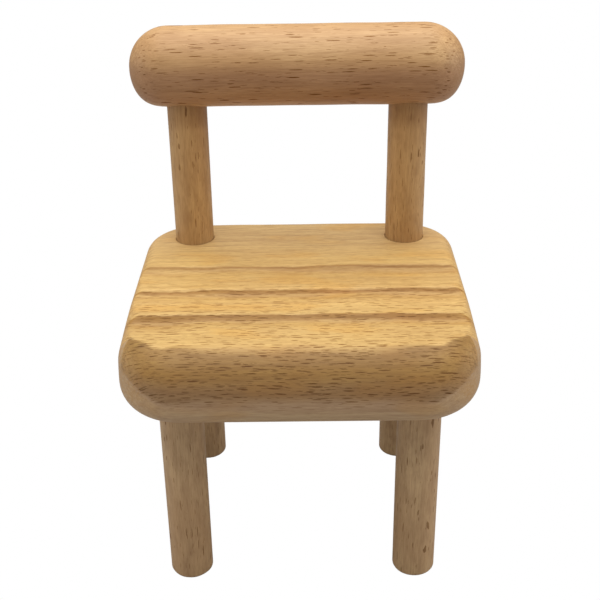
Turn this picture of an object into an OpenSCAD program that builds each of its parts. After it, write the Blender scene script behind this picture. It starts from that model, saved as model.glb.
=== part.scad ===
// Miniature wooden chair that stands on a desk and holds a phone.
// Eight glued pieces: a seat board, a backrest bar, two posts and four legs.
// Millimetres. The origin is on the floor under the middle of the seat.
// +X is the chair's left to right seen from the front, +Y is its back, +Z is up.

/* [Show] */
// Which piece to draw

/* [Seat board] */
// Width of the seat, left to right
seat_w = 95; // [92:1:110]
// Depth of the seat, front to back
seat_d = 91; // [88:1:104]
// Thickness of the seat board
seat_t = 20; // [18:0.5:24]
// Height of the seat's top above the floor
seat_top = 79; // [60:1:95]
// Corner radius of the two front corners, seen from above
front_corner_r = 18; // [16:0.5:22]
// Corner radius of the two rear corners, seen from above
rear_corner_r = 15; // [10:0.5:17]
// Radius of the large roll along the front edge
front_roll_r = 13; // [12.5:0.5:14]
// How far below the seat's top the roll ends in an upright face
front_roll_drop = 12; // [10:0.5:12]
// Radius that the front roll follows round the corners, seen from above
roll_path_r = 30; // [28:1:34]
// Rounding of the top edge along the sides and back
top_edge_r = 4; // [2:0.5:5]
// Rounding of the bottom edge all round
bottom_edge_r = 6; // [2:0.5:6]

/* [Grooves] */
// How many grooves cross the seat
groove_count = 3; // [1:1:3]
// Distance from one groove to the next
groove_pitch = 15.2; // [12:0.1:16]
// Distance of the rear groove's sharp edge behind the middle of the seat
groove_first_y = 10.9; // [8:0.1:14]
// Depth of each groove
groove_depth = 1.7; // [1:0.1:2]
// Radius of the hollow that runs from each groove's sharp edge to its floor
groove_cove_r = 3.2; // [2.2:0.1:4]
// Flat left between one groove and the next
groove_land = 0.4; // [0.2:0.1:1]

/* [Dowels] */
// Diameter of the posts and legs
dowel_d = 12; // [10:0.5:13]
// Distance between the left and right dowels, centre to centre
dowel_spacing = 64.5; // [60:0.5:66]
// Distance of the posts and rear legs behind the middle of the seat
rear_y = 32; // [28:0.5:32]
// Distance of the front legs in front of the middle of the seat
front_y = 27; // [20:0.5:30]
// Depth of the sockets in the seat
seat_socket = 7; // [4:0.5:7]
// Rounding of each leg's foot
foot_edge_r = 1; // [0.5:0.5:2]

/* [Backrest bar] */
// Diameter of the bar
bar_d = 23; // [20:0.5:28]
// Length of the bar over its domed ends
bar_len = 96; // [92:1:110]
// Height of the bar's centre line above the floor
bar_z = 132.5; // [115:0.5:150]

/* [Hidden] */
$fn = 96;
// Gap for glue round a dowel in its socket
glue_gap = 0.05;
// Gap for glue at the bottom of a socket
glue_depth = 0.3;
// How far a cutter runs past the surface it cuts
past = 1;
// How far above a groove's floor its ramp runs into the hollow
ramp_lift = 0.15;
seat_bottom = seat_top - seat_t;
dowel_r = dowel_d / 2;
dowel_x = dowel_spacing / 2;
socket_r = dowel_r + glue_gap;
bar_r = bar_d / 2;
beech = [0.82, 0.64, 0.41];
beech_dark = [0.74, 0.56, 0.35];

// Cross-section of the board's edge, run measured inwards to outwards
module edge_section(run) {
    translate([0, bottom_edge_r])
        square([run, seat_t - bottom_edge_r - top_edge_r]);
    square([run - bottom_edge_r, seat_t / 2]);
    translate([0, seat_t / 2])
        square([run - top_edge_r, seat_t / 2]);
    translate([run - bottom_edge_r, bottom_edge_r])
        circle(bottom_edge_r);
    translate([run - top_edge_r, seat_t - top_edge_r])
        circle(top_edge_r);
}

// A straight run of the board with one rounded edge facing +X, along +Y
module edge_run(run, length) {
    rotate([90, 0, 180])
        mirror([1, 0, 0])
            linear_extrude(length)
                edge_section(run);
}

// A quarter turn of the board's edge, in the corner between +X and +Y
module edge_corner(corner_r) {
    rotate_extrude(angle = 90)
        edge_section(corner_r);
}

// Right half of the board, without grooves or the front roll
module half_board() {
    front_x = seat_w / 2 - front_corner_r;
    rear_x = seat_w / 2 - rear_corner_r;
    front_centre = front_corner_r - seat_d / 2;
    rear_centre = seat_d / 2 - rear_corner_r;
    translate([0, front_centre, 0])
        edge_run(seat_w / 2, rear_centre - front_centre);
    translate([front_x, front_centre, 0])
        rotate([0, 0, -90])
            edge_corner(front_corner_r);
    translate([rear_x, rear_centre, 0])
        edge_corner(rear_corner_r);
    translate([0, front_centre, 0])
        rotate([0, 0, -90])
            edge_run(front_corner_r, front_x);
    translate([rear_x, rear_centre, 0])
        rotate([0, 0, 90])
            edge_run(rear_corner_r, rear_x);
}

// What the front roll takes off, in a plane that faces the edge; +X is outwards
module roll_section(path) {
    difference() {
        translate([path - front_roll_r, seat_t - front_roll_drop])
            square([front_roll_r + past, front_roll_drop + past]);
        translate([path - front_roll_r, seat_t - front_roll_drop])
            circle(front_roll_r);
    }
}

// Right half of what the front roll takes off
module half_roll_cut() {
    front_x = seat_w / 2 - front_corner_r;
    path_y = roll_path_r - seat_d / 2;
    translate([front_x, path_y, 0])
        rotate([0, 0, -90])
            rotate_extrude(angle = 90)
                roll_section(roll_path_r);
    translate([0, path_y, 0])
        rotate([90, 0, -90])
            mirror([0, 0, 1])
                linear_extrude(front_x)
                    roll_section(roll_path_r);
}

// Cross-section of one groove: +X is backwards, and the sharp edge is at 0, 0
module groove_section() {
    cove_z = groove_cove_r - groove_depth;
    cove_y = -sqrt(groove_cove_r * groove_cove_r - cove_z * cove_z);
    ramp_y = groove_land - groove_pitch;
    ramp_end = ramp_lift - groove_depth;
    translate([cove_y, cove_z])
        circle(groove_cove_r);
    polygon([[ramp_y, 0], [cove_y, ramp_end], [cove_y, cove_z + past], [ramp_y, past]]);
}

module grooves() {
    for (i = [0 : groove_count - 1])
        translate([-seat_w, groove_first_y - i * groove_pitch, seat_t])
            rotate([90, 0, 90])
                linear_extrude(2 * seat_w)
                    groove_section();
}

// Round socket that opens upwards at height z
module socket_down(x, y, z, depth) {
    translate([x, y, z - depth])
        cylinder(h = depth + past, r = socket_r);
}

// Round socket that opens downwards at height z
module socket_up(x, y, z, depth) {
    translate([x, y, z - past])
        cylinder(h = depth + past, r = socket_r);
}

module seat() {
    color(beech)
        difference() {
            translate([0, 0, seat_bottom])
                difference() {
                    union() {
                        half_board();
                        mirror([1, 0, 0])
                            half_board();
                    }
                    half_roll_cut();
                    mirror([1, 0, 0])
                        half_roll_cut();
                    grooves();
                }
            for (side = [-1, 1]) {
                socket_down(side * dowel_x, rear_y, seat_top, seat_socket);
                socket_up(side * dowel_x, rear_y, seat_bottom, seat_socket);
                socket_up(side * dowel_x, -front_y, seat_bottom, seat_socket);
            }
        }
}

// Half outline of the bar: its axis is the Y axis of this section
module bar_section() {
    straight = bar_len / 2 - bar_r;
    intersection() {
        union() {
            translate([0, -straight])
                square([bar_r, 2 * straight]);
            for (end = [-1, 1])
                translate([0, end * straight])
                    circle(bar_r);
        }
        translate([0, -bar_len])
            square([bar_d, 2 * bar_len]);
    }
}

module backrest() {
    color(beech)
        difference() {
            translate([0, rear_y, bar_z])
                rotate([0, 90, 0])
                    rotate_extrude()
                        bar_section();
            for (side = [-1, 1])
                socket_up(side * dowel_x, rear_y, bar_z - bar_r, bar_r);
        }
}

// Plain dowel from z_low to z_high
module post(side) {
    z_low = seat_top - seat_socket + glue_depth;
    z_high = bar_z - glue_depth;
    color(beech_dark)
        translate([side * dowel_x, rear_y, z_low])
            cylinder(h = z_high - z_low, r = dowel_r);
}

// Half outline of a leg with a rounded foot
module leg_section(height) {
    translate([0, foot_edge_r])
        square([dowel_r, height - foot_edge_r]);
    square([dowel_r - foot_edge_r, height]);
    translate([dowel_r - foot_edge_r, foot_edge_r])
        circle(foot_edge_r);
}

module leg(side, y) {
    color(beech_dark)
        translate([side * dowel_x, y, 0])
            rotate_extrude()
                leg_section(seat_bottom + seat_socket - glue_depth);
}

module post_left() {
    post(-1);
}

module post_right() {
    post(1);
}

module leg_front_left() {
    leg(-1, -front_y);
}

module leg_front_right() {
    leg(1, -front_y);
}

module leg_rear_left() {
    leg(-1, rear_y);
}

module leg_rear_right() {
    leg(1, rear_y);
}

seat();
backrest();
post_left();
post_right();
leg_front_left();
leg_front_right();
leg_rear_left();
leg_rear_right();
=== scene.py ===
import math

import bmesh
import bpy
import numpy as np
from mathutils import Matrix, Vector


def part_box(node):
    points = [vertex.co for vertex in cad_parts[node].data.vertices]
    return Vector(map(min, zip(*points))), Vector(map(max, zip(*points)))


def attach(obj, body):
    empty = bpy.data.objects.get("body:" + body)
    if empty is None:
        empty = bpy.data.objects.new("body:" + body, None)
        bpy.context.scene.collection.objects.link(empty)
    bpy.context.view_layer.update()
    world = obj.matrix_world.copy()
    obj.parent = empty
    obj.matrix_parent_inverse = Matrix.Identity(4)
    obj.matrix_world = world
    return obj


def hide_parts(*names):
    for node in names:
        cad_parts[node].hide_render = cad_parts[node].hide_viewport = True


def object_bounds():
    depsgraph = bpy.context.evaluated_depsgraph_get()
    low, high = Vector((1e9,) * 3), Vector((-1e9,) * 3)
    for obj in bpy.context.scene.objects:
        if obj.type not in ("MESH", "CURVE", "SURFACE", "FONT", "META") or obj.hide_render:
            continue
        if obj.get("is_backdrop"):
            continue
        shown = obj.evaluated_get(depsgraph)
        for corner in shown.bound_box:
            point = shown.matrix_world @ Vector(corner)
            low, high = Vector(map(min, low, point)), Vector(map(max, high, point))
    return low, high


# ------------------------------------------------------------------ the frame
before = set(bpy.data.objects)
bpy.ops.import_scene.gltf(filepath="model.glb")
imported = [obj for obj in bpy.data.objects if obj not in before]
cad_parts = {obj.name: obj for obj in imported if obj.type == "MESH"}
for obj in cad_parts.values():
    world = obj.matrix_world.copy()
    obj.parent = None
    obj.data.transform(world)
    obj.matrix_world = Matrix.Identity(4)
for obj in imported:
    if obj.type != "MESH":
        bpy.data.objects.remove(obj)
cad_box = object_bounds()
MM = 0.001


def box_mm(node):
    """Lowest and highest corner of a CAD node in millimetres, as numpy."""
    low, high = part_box(node)
    return np.array(low) / MM, np.array(high) / MM


# ------------------------------------------------------------- small helpers
def smoothstep(a, b, x):
    """0 at a, 1 at b, and an even S curve between them."""
    t = np.clip((x - a) / (b - a), 0, 1)
    return t * t * (3 - 2 * t)


class Wander:
    """Smooth random value along a line or over a plane: a few sine waves."""

    def __init__(self, seed, wavelength, waves=6):
        rng = np.random.default_rng(seed)
        self.k = rng.normal(0, 2 * math.pi / wavelength / 1.4, (waves, 3))
        self.phase = rng.uniform(0, 2 * math.pi, waves)
        self.scale = 1 / math.sqrt(waves / 2)

    def __call__(self, x, y=0.0, z=0.0):
        total = 0
        for k, p in zip(self.k, self.phase):
            total = total + np.sin(k[0] * x + k[1] * y + k[2] * z + p)
        return total * self.scale


def mesh_piece(name, verts, faces, sharp_deg=35):
    """A smooth-shaded object from points in millimetres."""
    me = bpy.data.meshes.new(name)
    me.from_pydata((np.asarray(verts) * MM).tolist(), [], faces)
    me.validate()
    ob = bpy.data.objects.new(name, me)
    bpy.context.scene.collection.objects.link(ob)
    finish_shading(ob, sharp_deg)
    return ob


def finish_shading(ob, sharp_deg):
    """Joins double points, turns faces outwards and keeps only sharp edges sharp."""
    bm = bmesh.new()
    bm.from_mesh(ob.data)
    bmesh.ops.remove_doubles(bm, verts=bm.verts, dist=1e-7)
    bmesh.ops.recalc_face_normals(bm, faces=bm.faces)
    limit = math.radians(sharp_deg)
    for f in bm.faces:
        f.smooth = True
    for e in bm.edges:
        e.smooth = len(e.link_faces) == 2 and e.calc_face_angle(0.0) < limit
    bm.to_mesh(ob.data)
    bm.free()


# how far a socket cutter runs past the surface that it opens in
CUT_PAST = 2.0


def cylinder_verts(x, y, z0, z1, r, chamfer, mouth, n=72):
    """Rings of a socket cutter from z0 to z1, wider at its mouth: "top" or "bottom"."""
    sign = 1 if mouth == "top" else -1
    z_mouth, z_end = (z1, z0) if mouth == "top" else (z0, z1)
    rows = [
        (z_mouth + sign * CUT_PAST, r + chamfer + CUT_PAST),
        (z_mouth - sign * chamfer, r),
        (z_end, r),
    ]
    a = np.arange(n) * 2 * math.pi / n
    out = []
    for z, radius in rows:
        out.append(np.stack([x + radius * np.cos(a), y + radius * np.sin(a), np.full(n, z)], 1))
    return np.concatenate(out), n


def cutter(specs):
    """One mesh object holding every socket cutter in specs."""
    verts, faces = [], []
    for spec in specs:
        v, n = cylinder_verts(*spec)
        base = sum(len(p) for p in verts)
        verts.append(v)
        for ring in range(len(v) // n - 1):
            for i in range(n):
                j = (i + 1) % n
                a, b = base + ring * n, base + (ring + 1) * n
                faces.append((a + i, a + j, b + j, b + i))
        faces.append(tuple(base + i for i in range(n)))
        faces.append(tuple(base + len(v) - n + i for i in range(n)))
    return mesh_piece("cutter", np.concatenate(verts), faces)


def cut(ob, tool, sharp_deg=35):
    """Takes tool away from ob and deletes it."""
    mod = ob.modifiers.new("cut", "BOOLEAN")
    mod.operation = "DIFFERENCE"
    mod.solver = "EXACT"
    mod.object = tool
    deps = bpy.context.evaluated_depsgraph_get()
    result = bpy.data.meshes.new_from_object(ob.evaluated_get(deps))
    ob.modifiers.clear()
    ob.data = result
    bpy.data.objects.remove(tool)
    finish_shading(ob, sharp_deg)


# -------------------------------------------------------------- seat's shape
seat_lo, seat_hi = box_mm("seat")
bar_lo, bar_hi = box_mm("backrest")
post_lo, post_hi = box_mm("post_right")
leg_lo, leg_hi = box_mm("leg_front_right")
HALF_W, HALF_D = seat_hi[0], seat_hi[1]
BASE, TOP = seat_lo[2], seat_hi[2]
DOWEL_R = (post_hi[0] - post_lo[0]) / 2
DOWEL_X = (post_hi[0] + post_lo[0]) / 2
REAR_Y = (post_hi[1] + post_lo[1]) / 2
FRONT_Y = (leg_hi[1] + leg_lo[1]) / 2
BAR_Z = (bar_lo[2] + bar_hi[2]) / 2
# the posts are this much smaller in radius than the legs
POST_TRIM = 0.2
# room for glue round a dowel, and at the end of its socket
SLACK, END_SLACK = 0.08, 0.3
# radius of the board's corners, seen from above
FRONT_R, REAR_R = 17.0, 16.2
# where the front corners start, seen from the middle
CORNER_X, CORNER_Y = HALF_W - FRONT_R, HALF_D - FRONT_R
# rounding of the bottom edge: how far it goes in, and how far up
BOTTOM_IN, BOTTOM_UP = 6.0, 7.0
# rounding of the top edge at the back, what it gains at the front, and where
EDGE_R, EDGE_GAIN = 4.75, 2.45
EDGE_GAIN_FROM, EDGE_GAIN_OVER = -8.0, 22.0
# the sides lean in by this share of the width between these two heights
SIDE_LEAN, LEAN_FROM, LEAN_TO = 0.009, TOP - 13.0, TOP - 2.0
PITCH = 15.2
GROOVES = [10.9 - i * PITCH for i in range(3)]
COVE_R, GROOVE_DEPTH, GROOVE_LAND = 3.2, 1.7, 0.3
# how far hand sanding blurs the seat's top, and the start of the front roll
SANDED, ROLL_SANDED = 0.32, 1.2
# how uneven hand sanding leaves a groove's edge, its depth and the seat's top
EDGE_WANDER, DEPTH_WANDER, TOP_WANDER = 0.28, 0.1, 0.035
# distance between the grid's rows, and width of the fine band at each side
ROW_STEP, SIDE_BAND = 0.45, 4.8

# The front roll changes round a corner, where 0 degrees faces the side and 90 the
# front. At the front it starts ROLL_RUN inside the outline and ends ROLL_DROP below
# the top. It widens from nothing at ROLL_START_DEG, and quickly if ROLL_GROWTH_DEG is
# small. Its end would be SIDE_DROP below the top at 0 degrees.
ROLL_RUN, ROLL_DROP, SIDE_DROP = 8.0, 12.0, 5.0
ROLL_START_DEG, ROLL_GROWTH_DEG = 2.0, 13.0


def roll_run(deg):
    """The roll widens quickly at the side of a corner, then keeps nearly one width."""
    turned = np.maximum(np.asarray(deg, float) - ROLL_START_DEG, 0)
    return ROLL_RUN * (1 - np.exp(-turned / ROLL_GROWTH_DEG)) ** 0.75


def roll_end(deg):
    """The roll gets deeper at an even rate from the side to the front."""
    return SIDE_DROP + (ROLL_DROP - SIDE_DROP) * np.asarray(deg, float) / 90


def edge_distance(x, y):
    """Distance inwards from the plan outline, and the way the edge faces there."""
    r = np.where(y < 0, FRONT_R, REAR_R)
    qx = np.abs(x) - (HALF_W - r)
    qy = np.abs(y) - (HALF_D - r)
    outside = np.hypot(np.maximum(qx, 0), np.maximum(qy, 0))
    s = r - outside - np.minimum(np.maximum(qx, qy), 0)
    deg = np.degrees(np.arctan2(np.maximum(qy, 0), np.maximum(qx, 1e-9)))
    deg = np.where((qx <= 0) & (qy <= 0), np.where(qx > qy, 0, 90), deg)
    return np.maximum(s, 0), deg


def round_drop(s, r):
    """Drop of a plain quarter-round of radius r at distance s from the edge."""
    u = np.clip(r - s, 0, r)
    return r - np.sqrt(np.maximum(r * r - u * u, 0))


def roll_drop(s, deg):
    """Drop of the front roll: an arc that starts with a crease and ends upright."""
    run = roll_run(deg)
    end = roll_end(deg)
    radius = (ROLL_RUN**2 + end**2) / (2 * ROLL_RUN)
    x = radius - ROLL_RUN * np.clip(s / np.maximum(run, 1e-6), 0, None)
    drop = end - np.sqrt(np.maximum(radius**2 - x**2, 0))
    return np.where((run > 0.05) & (s < run), np.maximum(drop, 0), 0)


edge_wander = [Wander(11 + i, 34) for i in range(3)]
depth_wander = [Wander(21 + i, 40) for i in range(3)]
surface_wander = Wander(5, 17, 10)


def groove_line(i, x):
    """Where groove i's sharp edge runs at x."""
    return GROOVES[i] + EDGE_WANDER * edge_wander[i](x)


def groove_drop(x, y):
    """Drop of the grooves: a hollow that faces the front, then a ramp up to the next."""
    cove_z = COVE_R - GROOVE_DEPTH
    cove_y = math.sqrt(COVE_R**2 - cove_z**2)
    run = PITCH - GROOVE_LAND
    span = math.hypot(run - cove_y, cove_z)
    slope = math.asin(COVE_R / span) - math.atan2(cove_z, run - cove_y)
    foot = run - math.sqrt(span**2 - COVE_R**2) * math.cos(slope)
    total = np.zeros(np.broadcast(x, y).shape)
    for i in range(len(GROOVES)):
        v = groove_line(i, x) - y
        cove = np.sqrt(np.maximum(COVE_R**2 - (v - cove_y) ** 2, 0)) - cove_z
        ramp = (run - v) * math.tan(slope)
        drop = np.where(v < foot, cove, ramp)
        drop = np.where((v > 0) & (v < run), drop, 0)
        total = np.maximum(total, drop * (1 + DEPTH_WANDER * depth_wander[i](x)))
    return total


def side_rounding(y):
    """Radius of the top edge at y: plain at the back, larger towards the front."""
    ahead = np.clip((EDGE_GAIN_FROM - y) / EDGE_GAIN_OVER, 0, 1)
    return EDGE_R + EDGE_GAIN * ahead**1.3


def top_drop(x, y):
    """How far the seat's top surface lies under its highest plane."""
    s, deg = edge_distance(x, y)
    drop = np.maximum(round_drop(s, side_rounding(y)), groove_drop(x, y))
    rolled = np.where(y < 0, roll_drop(s, deg), 0)
    return np.maximum(drop, rolled)


def softened_drop(x, y):
    """top_drop as hand sanding leaves it: averaged over a small disc.

    The disc is larger where the front roll starts, except near the corners.
    """
    weight = 0.22
    total = top_drop(x, y) * weight
    middle = 1 - smoothstep(22.0, 36.0, np.abs(x))
    crease = np.exp(-(((y + HALF_D - ROLL_RUN) / 3.0) ** 2))
    r = SANDED + ROLL_SANDED * crease * middle
    for ring, w in ((1.0, 0.085), (1.9, 0.045)):
        for k in range(6):
            a = (k + 0.5 * ring) * math.pi / 3
            total = total + w * top_drop(x + ring * r * math.cos(a), y + ring * r * math.sin(a))
            weight += w
    s, _ = edge_distance(x, y)
    mix = smoothstep(0.0, 0.9, s)
    return mix * total / weight + (1 - mix) * top_drop(x, y)


def row_stations():
    """Every row of the seat's grid, front to back, as a y value."""
    a = np.radians(np.linspace(90, 0, 41))
    front = -HALF_D + FRONT_R * (1 - np.sin(a))
    rear = HALF_D - REAR_R * (1 - np.sin(np.radians(np.linspace(0, 90, 27))))
    middle = np.arange(front[-1] + ROW_STEP, rear[0] - 0.3, ROW_STEP)
    # closer together across each groove's steep wall
    walls = [g + np.arange(-COVE_R, 1.2, 0.2) for g in GROOVES]
    rows = np.unique(np.round(np.concatenate([front, middle, rear, *walls]), 4))
    # rows that nearly coincide are left out; those near the ends are meant to be close
    keep = [rows[0]]
    for v in rows[1:]:
        near_end = min(v + HALF_D, HALF_D - v) < 4
        if v - keep[-1] > (0.004 if near_end else 0.12):
            keep.append(v)
    keep[-1] = HALF_D
    return np.array(keep)


def half_width(y):
    """Half the board's width at y, seen from above."""
    r = np.where(y < 0, FRONT_R, REAR_R)
    over = np.maximum(np.abs(y) - (HALF_D - r), 0)
    return HALF_W - r + np.sqrt(np.maximum(r * r - over * over, 0))


def seat_columns():
    """Every column of the seat's grid as a share of the half width, -1 to 1."""
    near_edge = SIDE_BAND * (1 - np.cos(np.radians(np.linspace(0, 90, 17))))
    inner = np.linspace(SIDE_BAND, HALF_W, 82)[1:]
    t = 1 - np.concatenate([near_edge, inner]) / HALF_W
    return np.concatenate([-t[:-1], [0.0], t[:-1][::-1]])


def seat_surface():
    """The seat's upper surface as grids of x, y and z."""
    rows, columns = row_stations(), seat_columns()
    x = half_width(rows)[:, None] * columns[None, :]
    y = np.repeat(rows[:, None], len(columns), 1)
    # rows near a groove bend with its edge, but the outline stays where it is
    shift = np.zeros_like(x)
    for i, g in enumerate(GROOVES):
        near = np.exp(-(((rows - g) / 4.5) ** 2))[:, None]
        shift += near * (groove_line(i, x) - g)
    s, _ = edge_distance(x, y)
    drop = softened_drop(x, y + shift)
    drop += TOP_WANDER * (1 + surface_wander(x, y)) * smoothstep(0, 3, s)
    return x, y + shift * smoothstep(0.0, 6.0, s), TOP - drop


def rim_loop(ny, nx):
    """Indices of the outer points of a grid, once round."""
    loop = list(range(nx))
    loop += [j * nx + nx - 1 for j in range(1, ny)]
    loop += [(ny - 1) * nx + i for i in range(nx - 2, -1, -1)]
    loop += [j * nx for j in range(ny - 2, 0, -1)]
    return np.array(loop)


def outward(rim):
    """Unit vector that points out of the board at each rim point, seen from above."""
    px, py = rim[:, 0], rim[:, 1]
    r = np.where(py < 0, FRONT_R, REAR_R)
    cx = np.sign(px) * np.maximum(np.abs(px) - (HALF_W - r), 0)
    cy = np.sign(py) * np.maximum(np.abs(py) - (HALF_D - r), 0)
    length = np.hypot(cx, cy)
    return np.stack([cx / length, cy / length], 1)


def wall_rings(rim):
    """Rings of the board's upright wall and of its rounded bottom edge."""
    for f in np.linspace(0, 1, 9)[1:]:
        ring = rim.copy()
        ring[:, 2] = rim[:, 2] + (BASE + BOTTOM_UP - rim[:, 2]) * f
        yield ring
    out = outward(rim)
    for a in np.radians(np.linspace(0, 90, 14))[1:]:
        ring = rim.copy()
        ring[:, :2] -= out * BOTTOM_IN * (1 - math.cos(a))
        ring[:, 2] = BASE + BOTTOM_UP * (1 - math.sin(a))
        yield ring


def seat_sockets():
    """Cutters for the sockets of two posts and four legs."""
    r = DOWEL_R + SLACK
    post_end = post_lo[2] - END_SLACK
    leg_end = leg_hi[2] + END_SLACK
    specs = []
    for side in (-1, 1):
        x = side * DOWEL_X
        specs.append((x, REAR_Y, post_end, TOP, r - POST_TRIM, 0.16, "top"))
        specs.append((x, REAR_Y, BASE, leg_end, r, 0.12, "bottom"))
        specs.append((x, FRONT_Y, BASE, leg_end, r, 0.12, "bottom"))
    return cutter(specs)


def build_seat():
    x, y, z = seat_surface()
    ny, nx = x.shape
    verts = [np.stack([x, y, z], -1).reshape(-1, 3)]
    faces = []
    for j in range(ny - 1):
        for i in range(nx - 1):
            a = j * nx + i
            faces.append((a, a + 1, a + nx + 1, a + nx))
    upper = rim_loop(ny, nx)
    n = len(upper)
    count = len(verts[0])
    for ring in wall_rings(verts[0][upper]):
        verts.append(ring)
        lower = count + np.arange(n)
        for k in range(n):
            following = (k + 1) % n
            faces.append((upper[k], lower[k], lower[following], upper[following]))
        upper, count = lower, count + n
    faces.append(tuple(upper[::-1]))
    faces = [tuple(int(v) for v in f) for f in faces]
    verts = np.concatenate(verts)
    verts[:, 0] *= 1 - SIDE_LEAN * smoothstep(LEAN_FROM, LEAN_TO, verts[:, 2])
    ob = mesh_piece("seat_board", verts, faces)
    cut(ob, seat_sockets())
    return ob


# ---------------------------------------------------------- backrest's shape
# how far hand sanding wears the bar, as a share of its radius, and how much fuller
# than a true dome the underside of each end is
BAR_WANDER, FULLER = 0.004, 1.1


def bar_sockets():
    """Cutters for the two posts' sockets, which open in the bar's underside."""
    r = DOWEL_R - POST_TRIM + SLACK
    low, high = bar_lo[2] + 0.5, BAR_Z + 0.2
    return cutter([(side * DOWEL_X, REAR_Y, low, high, r, 0.0, "bottom") for side in (-1, 1)])


def build_bar():
    centre = (bar_lo + bar_hi) / 2
    radius = (bar_hi[2] - bar_lo[2]) / 2
    straight = (bar_hi[0] - bar_lo[0]) / 2 - radius
    n = 144
    ang = np.arange(n) * 2 * math.pi / n
    # an exponent of 2 makes a true dome
    power = 2 + FULLER * np.clip(-np.sin(ang), 0, 1)
    uneven = Wander(41, 26, 8)

    def ring(x, r):
        y, z = r * np.cos(ang), r * np.sin(ang)
        worn = 1 - BAR_WANDER * np.maximum(1 + uneven(x, y, z), 0)
        return np.stack([centre[0] + x, centre[1] + y * worn, centre[2] + z * worn], 1)

    def dome_ring(side, a):
        x = np.full(n, side * (straight + radius * math.sin(a)))
        return ring(x, radius * np.maximum(1 - math.sin(a) ** power, 0) ** 0.5)

    dome = np.radians(np.linspace(0, 90, 27))[1:-1]
    rings = [dome_ring(-1, a) for a in dome[::-1]]
    rings += [ring(np.full(n, x), np.full(n, radius)) for x in np.linspace(-straight, straight, 100)]
    rings += [dome_ring(1, a) for a in dome]
    m = len(rings)
    faces = []
    for j in range(m - 1):
        for i in range(n):
            k = (i + 1) % n
            faces.append((j * n + i, (j + 1) * n + i, (j + 1) * n + k, j * n + k))
    left_tip, right_tip = m * n, m * n + 1
    for i in range(n):
        k = (i + 1) % n
        faces.append((left_tip, i, k))
        faces.append((right_tip, (m - 1) * n + k, (m - 1) * n + i))
    tips = np.array([[x, centre[1], centre[2]] for x in (bar_lo[0], bar_hi[0])])
    ob = mesh_piece("backrest_bar", np.concatenate([*rings, tips]), faces)
    cut(ob, bar_sockets())
    return ob


# ----------------------------------------------------------- dowels' shapes
# rounding of a leg's foot, and the deepest that a dowel's flats may go
FOOT_R, DEEPEST_FLAT = 1.0, 0.12


def build_dowel(name, node, seed, foot):
    """A post, or a leg if foot is true, with three faint flats along its length."""
    lo, hi = box_mm(node)
    cx, cy = (lo[0] + hi[0]) / 2, (lo[1] + hi[1]) / 2
    r = (hi[0] - lo[0]) / 2 - (0 if foot else POST_TRIM)
    n = 96
    ang = np.arange(n) * 2 * math.pi / n
    rng = np.random.default_rng(seed)
    flats = rng.uniform(0, 2 * math.pi, 3)
    depth = rng.uniform(0.03, 0.09, 3)
    uneven = Wander(seed, 30, 6)
    # height and radius of each ring
    rows = [(lo[2], r)]
    if foot:
        rows = [
            (lo[2] + FOOT_R * (1 - math.sin(a)), r - FOOT_R * (1 - math.cos(a)))
            for a in np.radians(np.linspace(90, 0, 9))
        ]
    rows += [(z, r) for z in np.linspace(rows[-1][0], hi[2], 42)[1:]]
    verts = []
    for z, radius in rows:
        cut_in = np.zeros(n)
        for f, d in zip(flats, depth):
            away = np.abs((ang - f + math.pi) % (2 * math.pi) - math.pi)
            cut_in += d * np.exp(-((away / 0.32) ** 4)) * (1 + 0.4 * uneven(z, f * 9))
        rr = radius - np.clip(cut_in, 0, DEEPEST_FLAT)
        verts.append(np.stack([cx + rr * np.cos(ang), cy + rr * np.sin(ang), np.full(n, z)], 1))
    m = len(rows)
    faces = []
    for j in range(m - 1):
        for i in range(n):
            k = (i + 1) % n
            faces.append((j * n + i, j * n + k, (j + 1) * n + k, (j + 1) * n + i))
    faces.append(tuple(range(n))[::-1])
    faces.append(tuple((m - 1) * n + i for i in range(n)))
    return mesh_piece(name, np.concatenate(verts), faces)


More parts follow.
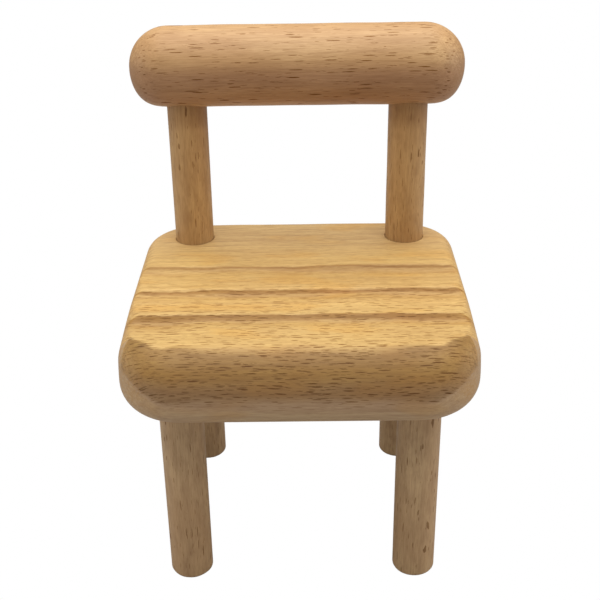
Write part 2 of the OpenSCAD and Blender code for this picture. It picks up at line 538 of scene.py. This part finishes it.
# ------------------------------------------------------------ beech material
class Graph:
    """Short names for building a shader's nodes."""

    def __init__(self, name):
        self.mat = bpy.data.materials.new(name)
        self.mat.use_nodes = True
        self.nt = self.mat.node_tree
        self.nt.nodes.clear()
        self.column = 0

    def node(self, kind, **props):
        n = self.nt.nodes.new(kind)
        self.column += 1
        n.location = (self.column * 40, -(self.column % 7) * 120)
        for k, v in props.items():
            setattr(n, k, v)
        return n

    def put(self, socket, value):
        if isinstance(value, bpy.types.NodeSocket):
            self.nt.links.new(value, socket)
        else:
            socket.default_value = value

    def math(self, op, a, b=0.0, c=0.0, clamp=False):
        n = self.node("ShaderNodeMath", operation=op, use_clamp=clamp)
        for socket, value in zip(n.inputs, (a, b, c)):
            self.put(socket, value)
        return n.outputs[0]

    def vec(self, op, a, b=(0, 0, 0), scale=None):
        n = self.node("ShaderNodeVectorMath", operation=op)
        self.put(n.inputs[0], a)
        self.put(n.inputs[1], b)
        if scale is not None:
            self.put(n.inputs["Scale"], scale)
        return n.outputs["Value" if op in ("LENGTH", "DOT_PRODUCT") else "Vector"]

    def noise(self, p, scale, detail=2.0, rough=0.5):
        n = self.node("ShaderNodeTexNoise")
        self.put(n.inputs["Vector"], self.vec("MULTIPLY", p, tuple(scale)))
        n.inputs["Scale"].default_value = 1.0
        n.inputs["Detail"].default_value = detail
        n.inputs["Roughness"].default_value = rough
        return n.outputs["Fac"]

    def ramp(self, x, lo, hi, to_lo=0.0, to_hi=1.0):
        n = self.node("ShaderNodeMapRange", interpolation_type="SMOOTHSTEP", clamp=True)
        self.put(n.inputs["Value"], x)
        n.inputs["From Min"].default_value = lo
        n.inputs["From Max"].default_value = hi
        n.inputs["To Min"].default_value = to_lo
        n.inputs["To Max"].default_value = to_hi
        return n.outputs["Result"]

    def mix(self, fac, a, b, blend="MIX"):
        n = self.node("ShaderNodeMix", data_type="RGBA", blend_type=blend)
        self.put(n.inputs[0], fac)
        for socket, value in ((n.inputs[6], a), (n.inputs[7], b)):
            if isinstance(value, tuple) and len(value) == 3:
                value = (*value, 1.0)
            self.put(socket, value)
        return n.outputs[2]


def flecks(g, p, cell, half, share, seed, ragged):
    """Mask of thin dark ray flecks. p is (along, across, radial) in millimetres.

    One fleck of half size half sits in each cell of size cell, in a share of them.
    """
    q = g.vec("ADD", p, (seed * 31.7, seed * 17.3, seed * 7.9))
    q = g.vec("ADD", q, ragged)
    q = g.vec("DIVIDE", q, cell)
    v = g.node("ShaderNodeTexVoronoi", voronoi_dimensions="3D", feature="F1")
    g.put(v.inputs["Vector"], q)
    v.inputs["Scale"].default_value = 1.0
    v.inputs["Randomness"].default_value = 1.0
    colour = g.node("ShaderNodeSeparateXYZ")
    g.put(colour.inputs[0], v.outputs["Color"])
    d = g.vec("SUBTRACT", q, v.outputs["Position"])
    d = g.vec("MULTIPLY", d, tuple(c / h for c, h in zip(cell, half)))
    size = g.math("MULTIPLY_ADD", colour.outputs[1], 0.9, 0.55)
    reach = g.math("DIVIDE", g.vec("LENGTH", d), size)
    mask = g.ramp(reach, 0.7, 1.05, 1.0, 0.0)
    there = g.ramp(colour.outputs[0], 1 - share - 0.04, 1 - share + 0.04)
    strength = g.math("MULTIPLY_ADD", colour.outputs[2], 0.35, 0.65)
    return g.math("MULTIPLY", g.math("MULTIPLY", mask, there), strength)


def beech(name, along, across, seed, light, mid, dark, fleck, big, small,
          share=0.7, streak=1.0, mottle=0.0, golden=None, zones=None):
    """Sanded beech. along is the grain, across the way the flecks are thin.

    big and small are the cell size and half size of two sets of flecks, and fleck is
    what they multiply the wood's colour by. zones tints the colour by position, and
    gives the strength of the flecks there.
    """
    g = Graph(name)
    coords = g.node("ShaderNodeTexCoord").outputs["Object"]
    mm = g.vec("SCALE", coords, scale=1 / MM)
    along, across = Vector(along).normalized(), Vector(across).normalized()
    radial = along.cross(across)
    combine = g.node("ShaderNodeCombineXYZ")
    for socket, axis in zip(combine.inputs, (along, across, radial)):
        g.put(socket, g.vec("DOT_PRODUCT", mm, tuple(axis)))
    p = g.vec("ADD", combine.outputs[0], (seed * 53.1, seed * 29.7, seed * 41.3))
    # the grain wanders a little
    bend = g.node("ShaderNodeTexNoise")
    g.put(bend.inputs["Vector"], g.vec("MULTIPLY", p, (1 / 38, 1 / 20, 1 / 20)))
    bend.inputs["Scale"].default_value = 1.0
    bend.inputs["Detail"].default_value = 1.0
    centred = g.vec("SUBTRACT", bend.outputs["Color"], (0.5, 0.5, 0.5))
    p = g.vec("ADD", p, g.vec("MULTIPLY", centred, (0.0, 2.2, 2.2)))
    fine = g.node("ShaderNodeTexNoise")
    g.put(fine.inputs["Vector"], g.vec("MULTIPLY", p, (0.9, 2.5, 1.2)))
    fine.inputs["Scale"].default_value = 1.0
    fine.inputs["Detail"].default_value = 2.0
    jitter = g.vec("SUBTRACT", fine.outputs["Color"], (0.5, 0.5, 0.5))
    ragged = g.vec("MULTIPLY", jitter, (0.8, 0.14, 0.5))

    dashes = flecks(g, p, *big, share, 1, ragged)
    specks = flecks(g, p, *small, share, 2, ragged)
    fleck_mask = g.math("MAXIMUM", dashes, g.math("MULTIPLY", specks, 0.75))

    patches = g.noise(p, (1 / 34, 1 / 15, 1 / 11), 2.0)
    streaks = g.noise(p, (1 / 26, 1 / 1.3, 1 / 1.1), 3.0, 0.6)
    fibres = g.noise(p, (1 / 3.6, 1 / 0.24, 1 / 0.24), 2.0, 0.6)
    hairs = g.noise(p, (1 / 10, 1 / 0.42, 1 / 0.6), 2.0, 0.55)
    blotches = g.noise(p, (1 / 7.0, 1 / 2.6, 1 / 2.6), 3.0, 0.6)
    rings_at = g.node("ShaderNodeSeparateXYZ")
    g.put(rings_at.inputs[0], p)
    waves = g.math("SINE", g.math("MULTIPLY", rings_at.outputs[2], 2 * math.pi / 2.7))
    rings = g.ramp(waves, 0.1, 1.0)

    colour = g.mix(g.ramp(patches, 0.32, 0.68), mid, light)
    tone = g.math("MULTIPLY", g.ramp(streaks, 0.35, 0.75), 0.34 * streak)
    colour = g.mix(tone, colour, dark)
    if golden:
        glow = g.noise(p, (1 / 24, 1 / 9, 1 / 9), 2.0)
        colour = g.mix(g.ramp(glow, 0.5, 0.68, 0.0, 0.65), colour, golden)
    colour = g.mix(g.ramp(blotches, 0.42, 0.72, 0.0, mottle), colour, dark)
    colour = g.mix(g.math("MULTIPLY", rings, 0.10 * streak), colour, dark)
    colour = g.mix(g.ramp(fibres, 0.40, 0.72, 0.0, 0.42), colour, dark)
    colour = g.mix(g.ramp(hairs, 0.50, 0.72, 0.0, 0.38), colour, dark)
    normal = g.node("ShaderNodeNewGeometry").outputs["Normal"]
    ends = g.math("ABSOLUTE", g.vec("DOT_PRODUCT", normal, tuple(along)))
    # flecks lie along the grain, so they hardly show on end grain
    fleck_mask = g.math("MULTIPLY", fleck_mask, g.ramp(ends, 0.55, 0.85, 1.0, 0.25))
    if zones:
        colour, keep = zones(g, mm, colour)
        fleck_mask = g.math("MULTIPLY", fleck_mask, keep, clamp=True)
    colour = g.mix(fleck_mask, colour, fleck, "MULTIPLY")
    # end grain drinks more finish and goes darker
    pores = g.ramp(g.noise(mm, (1 / 0.9, 1 / 0.8, 1 / 0.6), 4.0, 0.65), 0.42, 0.60, 0.0, 0.8)
    colour = g.mix(g.math("MULTIPLY", g.ramp(ends, 0.35, 0.85), pores), colour, dark)

    bsdf = g.node("ShaderNodeBsdfPrincipled")
    g.put(bsdf.inputs["Base Color"], colour)
    # a fleck is a small pit, so it is rougher
    rough = g.ramp(fibres, 0.2, 0.8, 0.46, 0.60)
    g.put(bsdf.inputs["Roughness"], g.math("MULTIPLY_ADD", fleck_mask, 0.3, rough, clamp=True))
    bsdf.inputs["Specular IOR Level"].default_value = 0.33
    height = g.math("MULTIPLY_ADD", fibres, 0.35, g.math("MULTIPLY", fleck_mask, -1.0))
    bump = g.node("ShaderNodeBump")
    bump.inputs["Strength"].default_value = 0.35
    bump.inputs["Distance"].default_value = 0.00006
    g.put(bump.inputs["Height"], height)
    g.put(bsdf.inputs["Normal"], bump.outputs[0])
    out = g.node("ShaderNodeOutputMaterial")
    g.put(out.inputs["Surface"], bsdf.outputs[0])
    return g.mat


def groove_painted_shade(g, mm, at):
    """Mask of painted shade on the steep wall just in front of each groove's sharp edge, fading
    softly further in front.
    """
    waver = g.math("SUBTRACT", g.noise(mm, (1 / 13, 1 / 30, 1 / 30), 4.0, 0.6), 0.5)
    total = 0.0
    for line, wide, amount in zip(GROOVES, (1.0, 1.6, 2.3), (0.85, 1.0, 1.1)):
        v = g.math("SUBTRACT", g.math("MULTIPLY_ADD", waver, 1.5, line), at.outputs[1])
        core = g.math("MULTIPLY", g.ramp(v, -0.1, 0.35),
                      g.ramp(v, 0.4 * wide, 1.15 * wide, 1.0, 0.0))
        soft = g.math("MULTIPLY", g.ramp(v, 0.0, 0.4), g.ramp(v, wide, wide + 4.0, 0.42, 0.0))
        wall_shade = g.math("MULTIPLY", g.math("MAXIMUM", core, soft), amount)
        total = g.math("MAXIMUM", wall_shade, total)
    return total


def seat_zones(g, mm, colour):
    """The seat's front roll is browner, partly its wood and partly painted shade; the upright faces
    round it are paler, with painted shade and cool bounce light.
    """
    at = g.node("ShaderNodeSeparateXYZ")
    g.put(at.inputs[0], mm)
    y, z = at.outputs[1], at.outputs[2]
    # which way the outline faces (0 the side, 90 the front), and how far in a point is
    beside = g.math("SUBTRACT", g.math("ABSOLUTE", at.outputs[0]), CORNER_X)
    ahead = g.math("SUBTRACT", g.math("MULTIPLY", y, -1.0), CORNER_Y)
    across, ahead = g.math("MAXIMUM", beside, 0.001), g.math("MAXIMUM", ahead, 0.0)
    facing = g.math("DEGREES", g.math("ARCTAN2", ahead, across))
    out = g.math("SQRT", g.math("ADD", g.math("MULTIPLY", across, across),
                                g.math("MULTIPLY", ahead, ahead)))
    inset = g.math("SUBTRACT", FRONT_R, out)
    # how far in the roll reaches, with a soft start in the middle, a crisp one aside
    run = g.math("ADD", g.ramp(facing, 1.0, 10.0, 0.0, 4.6), g.ramp(facing, 8.0, 36.0, 0.0, 2.4))
    run = g.math("ADD", run, g.ramp(facing, 50.0, 90.0, 0.0, 2.3))
    soft = g.ramp(beside, -12.5, 6.5, 4.2, 1.0)
    depth = g.math("DIVIDE", g.math("SUBTRACT", run, inset), soft)
    # the roll stops at a slanting line near the side of the board
    limit = g.math("MULTIPLY_ADD", facing, 0.17, -4.6)
    rolled = g.math("MULTIPLY", g.ramp(depth, -0.25, 1.0),
                    g.ramp(g.math("ADD", inset, limit), -0.3, 0.4))
    # and ends above the paler band of painted shade and cool bounce light
    end = g.ramp(facing, 30.0, 85.0, 7.3, 12.4)
    over = g.math("SUBTRACT", g.math("ADD", z, end), TOP)
    over = g.math("DIVIDE", over, g.ramp(beside, -6.5, 7.5, 2.8, 0.7))
    above = g.ramp(over, -1.2, 1.2)
    rolled = g.math("MULTIPLY", rolled, above)
    plateau = g.math("MULTIPLY", g.ramp(g.math("SUBTRACT", inset, run), -0.5, 0.3),
                     g.ramp(z, TOP - 6.6, TOP - 3.4))
    inner = g.math("MULTIPLY", g.ramp(inset, 3.0, 5.0), above)
    upper = g.math("MAXIMUM", g.math("MAXIMUM", rolled, inner), plateau)
    # the roll's browner colour: partly its wood, partly painted shade
    roll_wood_and_shade = g.math("MULTIPLY", rolled, g.ramp(beside, -4.5, 7.5, 1.0, 0.93))
    # painted bounce light from the floor: the lower roll turns less brown and cooler
    roll_bounce_light = g.math("MULTIPLY", roll_wood_and_shade, g.ramp(z, TOP - 3.5, TOP - 9.5))
    colour = g.mix(roll_bounce_light, colour, ROLL_BOUNCE_LIGHT_TINT, "MULTIPLY")
    colour = g.mix(roll_wood_and_shade, colour, ROLL_WOOD_AND_SHADE_TINT, "MULTIPLY")
    # painted shade on the groove walls and just in front of them
    colour = g.mix(groove_painted_shade(g, mm, at), colour, GROOVE_SHADE_TINT, "MULTIPLY")
    # painted shade with cool bounce light from the floor on the upright faces and the underside
    lower = g.math("SUBTRACT", 1.0, upper)
    colour = g.mix(lower, colour, BAND_SHADE_AND_BOUNCE_TINT, "MULTIPLY")
    # the back of the board, under the bar, is a little greyer: painted shade of the bar
    colour = g.mix(g.ramp(y, 12.0, 34.0), colour, BAR_SHADE_ON_SEAT_TINT, "MULTIPLY")
    # the flat just behind the roll is a little darker
    worn = g.math("MULTIPLY", g.ramp(y, GROOVES[2] + 9.5, GROOVES[2] - 1.5),
                  g.ramp(y, 7.0 - HALF_D, 10.5 - HALF_D))
    colour = g.mix(worn, colour, FRONT_FLAT_TINT, "MULTIPLY")
    # few flecks on the flat at the back, many towards the front
    density = g.ramp(y, 14.0, -22.0, 0.25, 1.0)
    deeper = g.math("MULTIPLY_ADD", rolled, 0.06, 0.94)
    return colour, g.math("MULTIPLY", g.math("MULTIPLY", density, upper), deeper)


def height_ramp(g, mm, low, high, to_low=0.0, to_high=1.0):
    """A ramp over the height in millimetres."""
    at = g.node("ShaderNodeSeparateXYZ")
    g.put(at.inputs[0], mm)
    return g.ramp(at.outputs[2], low, high, to_low, to_high)


def bar_painted_shade(g, mm, colour):
    """The bar's lower half is a little darker and redder than its top: painted shade, weaker at the
    very bottom where painted bounce light lifts it.
    """
    # painted shade on the bar's lower half, weaker at its very bottom
    lower = height_ramp(g, mm, BAR_Z + 5.0, BAR_Z - 1.0)
    keep = height_ramp(g, mm, bar_lo[2], bar_lo[2] + 4.0, 0.25, 1.0)
    return g.mix(g.math("MULTIPLY", lower, keep), colour, BAR_SHADE_TINT, "MULTIPLY"), 1.0


def post_painted_light(g, mm, colour):
    """A post is a little darker where it goes into the bar: painted shade under the bar. All of it
    is a little warmer: painted warm bounce light from the seat.
    """
    shade_under_bar = height_ramp(g, mm, bar_lo[2] - 7.5, bar_lo[2] - 2.5)
    # painted warm bounce light from the seat, all over the post
    colour = g.mix(1.0, colour, POST_WARM_BOUNCE_TINT, "MULTIPLY")
    # painted shade under the bar
    return g.mix(shade_under_bar, colour, POST_SHADE_UNDER_BAR_TINT, "MULTIPLY"), 1.0


def leg_painted_bounce(g, mm, colour):
    """A leg is a little greyer than a post: painted cool bounce light from the floor."""
    return g.mix(1.0, colour, LEG_COOL_BOUNCE_TINT, "MULTIPLY"), 1.0


# ---------------------------------------------------------------- the pieces
# tints that a part of the wood's colour is multiplied by; most of them are painted light and shade
# the roll's first tint is partly its wood and partly painted shade; the second is painted bounce
# light
ROLL_WOOD_AND_SHADE_TINT, ROLL_BOUNCE_LIGHT_TINT = (0.465, 0.39, 0.262), (1.0, 1.07, 1.9)
# painted shade of the groove walls
GROOVE_SHADE_TINT = (0.585, 0.465, 0.275)
# painted shade with cool floor bounce light on the seat's upright faces
BAND_SHADE_AND_BOUNCE_TINT = (0.73, 0.75, 1.12)
# painted shade of the bar on the back of the seat
BAR_SHADE_ON_SEAT_TINT = (0.96, 0.98, 1.16)
FRONT_FLAT_TINT = (0.92, 0.935, 0.94)
# painted shade on the bar's lower half
BAR_SHADE_TINT = (0.74, 0.67, 0.72)
# painted warm bounce light on a post, and painted shade under the bar
POST_WARM_BOUNCE_TINT, POST_SHADE_UNDER_BAR_TINT = (1.02, 0.99, 0.86), (0.80, 0.75, 0.72)
# painted cool bounce light from the floor on the legs
LEG_COOL_BOUNCE_TINT = (0.985, 1.04, 1.13)
SEAT_TONES = dict(
    light=(0.645, 0.425, 0.152), mid=(0.585, 0.37, 0.130),
    dark=(0.37, 0.20, 0.063), fleck=(0.33, 0.19, 0.0),
    big=((4.5, 0.9, 3.3), (1.4, 0.125, 1.9)), small=((2.8, 0.65, 2.2), (0.85, 0.085, 1.1)),
    share=0.93, streak=1.4, golden=(0.60, 0.34, 0.088), zones=seat_zones,
)
BAR_TONES = dict(
    light=(0.56, 0.345, 0.158), mid=(0.47, 0.268, 0.115),
    dark=(0.31, 0.160, 0.060), fleck=(0.36, 0.21, 0.0),
    big=((5.4, 1.1, 1.15), (1.7, 0.135, 0.33)), small=((3.4, 0.8, 0.85), (0.9, 0.075, 0.22)),
    share=0.75, zones=bar_painted_shade,
)
DOWEL_TONES = dict(
    light=(0.51, 0.32, 0.150), mid=(0.42, 0.245, 0.108),
    dark=(0.28, 0.148, 0.062), fleck=(0.42, 0.32, 0.20),
    big=((4.4, 1.3, 2.4), (1.5, 0.09, 0.7)), small=((2.8, 0.9, 1.6), (0.9, 0.07, 0.4)),
    share=0.6, streak=0.8, mottle=0.45,
)


def use(ob, node, material):
    """Puts a visual piece in the place of a CAD node."""
    ob.data.materials.clear()
    ob.data.materials.append(material)
    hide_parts(node)
    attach(ob, "root")


use(build_seat(), "seat",
    beech("beech_seat", (1, 0, 0), (0, 1, 1), 1, **SEAT_TONES))
use(build_bar(), "backrest",
    beech("beech_bar", (1, 0, 0.01), (0, 0.35, 1), 2, **BAR_TONES))
# node, is it a leg, which way its flecks are thin, seed
DOWELS = [
    ("post_left", False, 70, 3), ("post_right", False, -35, 4),
    ("leg_front_left", True, 20, 9), ("leg_front_right", True, 110, 6),
    ("leg_rear_left", True, 60, 7), ("leg_rear_right", True, 150, 8),
]
for node, foot, turn, seed in DOWELS:
    a = math.radians(turn)
    wood = beech(f"beech_{node}", (0.01, 0, 1), (math.cos(a), math.sin(a), 0), seed,
                 zones=leg_painted_bounce if foot else post_painted_light, **DOWEL_TONES)
    use(build_dowel(node + "_dowel", node, seed, foot), node, wood)

# ------------------------------------------------------------ floor and light
scene = bpy.context.scene
scene.view_settings.view_transform = "Standard"


def staged(name, me):
    """An object of the stage, not of the chair."""
    ob = bpy.data.objects.new(name, me)
    scene.collection.objects.link(ob)
    ob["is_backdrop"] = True
    return ob


def plane(name, size, z):
    """A level square in metres."""
    me = bpy.data.meshes.new(name)
    h = size / 2
    me.from_pydata([(-h, -h, z), (h, -h, z), (h, h, z), (-h, h, z)], [], [(0, 1, 2, 3)])
    return staged(name, me)


def sphere(name, radius):
    """A sphere in metres, round the whole scene."""
    me = bpy.data.meshes.new(name)
    bm = bmesh.new()
    bmesh.ops.create_uvsphere(bm, u_segments=32, v_segments=16, radius=radius)
    bm.to_mesh(me)
    bm.free()
    return staged(name, me)


def plain(name, kind, colour, strength=None):
    """A material of one shader node and one colour."""
    g = Graph(name)
    shader = g.node(kind)
    shader.inputs["Color"].default_value = (*colour, 1)
    if strength is not None:
        shader.inputs["Strength"].default_value = strength
    g.put(g.node("ShaderNodeOutputMaterial").inputs["Surface"], shader.outputs[0])
    return g.mat


# sizes of the stage in metres; both floors lie just under the chair's feet
FLOOR_SIZE, BOUNCE_SIZE, BACKDROP_R = 11, 4, 6
FLOOR_Z, BOUNCE_Z = -0.00005, -0.0001

# the floor and backdrop that the camera sees are plain white
white_paint = plain("floor_white", "ShaderNodeEmission", (1, 1, 1), 1.0)
for white in (plane("floor", FLOOR_SIZE, FLOOR_Z), sphere("backdrop", BACKDROP_R)):
    white.data.materials.append(white_paint)
    for ray in ("diffuse", "glossy", "transmission", "volume_scatter", "shadow"):
        setattr(white, "visible_" + ray, False)
# the camera doesn't see the floor's twin, which only bounces light
bounce = plane("floor_bounce", BOUNCE_SIZE, BOUNCE_Z)
bounce.data.materials.append(plain("floor_grey", "ShaderNodeBsdfDiffuse", (0.47, 0.47, 0.47)))
bounce.visible_camera = False

world = bpy.data.worlds.new("studio")
scene.world = world
world.use_nodes = True
surround = world.node_tree.nodes["Background"]
surround.inputs["Color"].default_value = (1.0, 0.985, 0.96, 1)
surround.inputs["Strength"].default_value = 0.34


def softbox(name, at, towards, width, height, power):
    """A rectangular light in metres and watts that the camera doesn't see."""
    data = bpy.data.lights.new(name, "AREA")
    data.shape = "RECTANGLE"
    data.size, data.size_y = width, height
    data.energy = power
    ob = bpy.data.objects.new(name, data)
    scene.collection.objects.link(ob)
    ob.location = at
    ob.rotation_mode = "QUATERNION"
    ob.rotation_quaternion = (Vector(towards) - Vector(at)).to_track_quat("-Z", "Y")
    ob.visible_camera = False


softbox("key", (0, 0, 0.9), (0, 0, 0), 0.9, 1.2, 12.5)
softbox("side_left", (-0.9, 0, 0.35), (0, 0, 0.08), 0.6, 0.6, 2.2)
softbox("side_right", (0.9, 0, 0.35), (0, 0, 0.08), 0.6, 0.6, 3.0)

# --------------------------------------------------------------------- camera
CAMERA_AT = Vector((2.17, -269.73, 209.91)) * MM
YAW, PITCH_DOWN, ROLL = (math.radians(v) for v in (-0.429, 26.892, 0.832))
SENSOR_MM, LENS_MM = 36.0, 63.68
# length of the view's direction on the level
level = math.cos(PITCH_DOWN)
ahead = Vector((math.sin(YAW) * level, math.cos(YAW) * level, -math.sin(PITCH_DOWN)))
right = Vector((math.cos(YAW), -math.sin(YAW), 0))
down = ahead.cross(right)
image_x = math.cos(ROLL) * right + math.sin(ROLL) * down
image_y = -math.sin(ROLL) * right + math.cos(ROLL) * down
turn = Matrix((image_x, -image_y, -ahead)).transposed()
camera_data = bpy.data.cameras.new("camera")
camera_data.sensor_width = SENSOR_MM
camera_data.lens = LENS_MM
camera_data.clip_start, camera_data.clip_end = 0.01, 100
camera = bpy.data.objects.new("camera", camera_data)
scene.collection.objects.link(camera)
camera.matrix_world = Matrix.Translation(CAMERA_AT) @ turn.to_4x4()
scene.camera = camera

boxes = {"cad": cad_box, "visual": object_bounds()}
{k: [[float(c) for c in corner] for corner in v] for k, v in boxes.items()}
